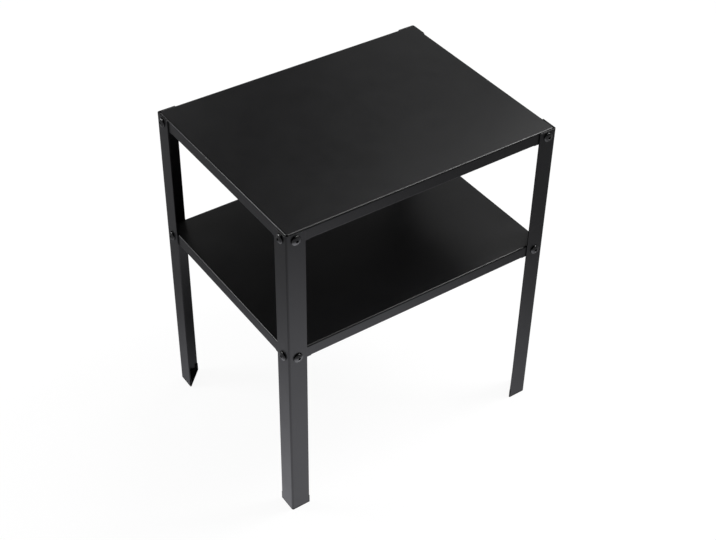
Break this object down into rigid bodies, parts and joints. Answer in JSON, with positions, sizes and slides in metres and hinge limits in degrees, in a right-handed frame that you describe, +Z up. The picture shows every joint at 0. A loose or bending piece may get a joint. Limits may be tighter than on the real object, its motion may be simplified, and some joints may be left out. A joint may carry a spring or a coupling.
{
  "type": "nightstand",
  "caption": "Open metal nightstand: a folded sheet-steel top and lower shelf bolted inside legs of bent steel angle, with plastic feet.",
  "frame": {"origin": "on the floor, under the middle of the stand", "axes": "+Z up, +X along the long side to the right as seen from the front, +Y from the front to the back"},
  "size_m": [0.468, 0.358, 0.535],
  "materials": {
    "shelf_coat": "satin black powder coat on steel sheet",
    "leg_coat": "satin black powder coat on bent steel angle",
    "screw_steel": "black oxide, semi-gloss",
    "nut_steel": "bright zinc plate",
    "foot_plastic": "moulded black, fine grain"
  },
  "bodies": {
    "root": {"top_shelf": "shelf_coat", "lower_shelf": "shelf_coat", "leg_front_left": "leg_coat", "foot_front_left": "foot_plastic", "leg_front_right": "leg_coat", "foot_front_right": "foot_plastic", "leg_back_right": "leg_coat", "foot_back_right": "foot_plastic", "leg_back_left": "leg_coat", "foot_back_left": "foot_plastic", "top_front_left_screw_front": "screw_steel", "top_front_left_screw_left": "screw_steel", "lower_front_left_screw_front": "screw_steel", "lower_front_left_screw_left": "screw_steel", "top_front_right_screw_right": "screw_steel", "top_front_right_screw_front": "screw_steel", "lower_front_right_screw_right": "screw_steel", "lower_front_right_screw_front": "screw_steel", "top_back_right_screw_back": "screw_steel", "top_back_right_screw_right": "screw_steel", "lower_back_right_screw_back": "screw_steel", "lower_back_right_screw_right": "screw_steel", "top_back_left_screw_left": "screw_steel", "top_back_left_screw_back": "screw_steel", "lower_back_left_screw_left": "screw_steel", "lower_back_left_screw_back": "screw_steel", "top_front_left_nut_front": "nut_steel", "top_front_left_nut_left": "nut_steel", "lower_front_left_nut_front": "nut_steel", "lower_front_left_nut_left": "nut_steel", "top_front_right_nut_right": "nut_steel", "top_front_right_nut_front": "nut_steel", "lower_front_right_nut_right": "nut_steel", "lower_front_right_nut_front": "nut_steel", "top_back_right_nut_back": "nut_steel", "top_back_right_nut_right": "nut_steel", "lower_back_right_nut_back": "nut_steel", "lower_back_right_nut_right": "nut_steel", "top_back_left_nut_left": "nut_steel", "top_back_left_nut_back": "nut_steel", "lower_back_left_nut_left": "nut_steel", "lower_back_left_nut_back": "nut_steel"}
  },
  "joints": []
}
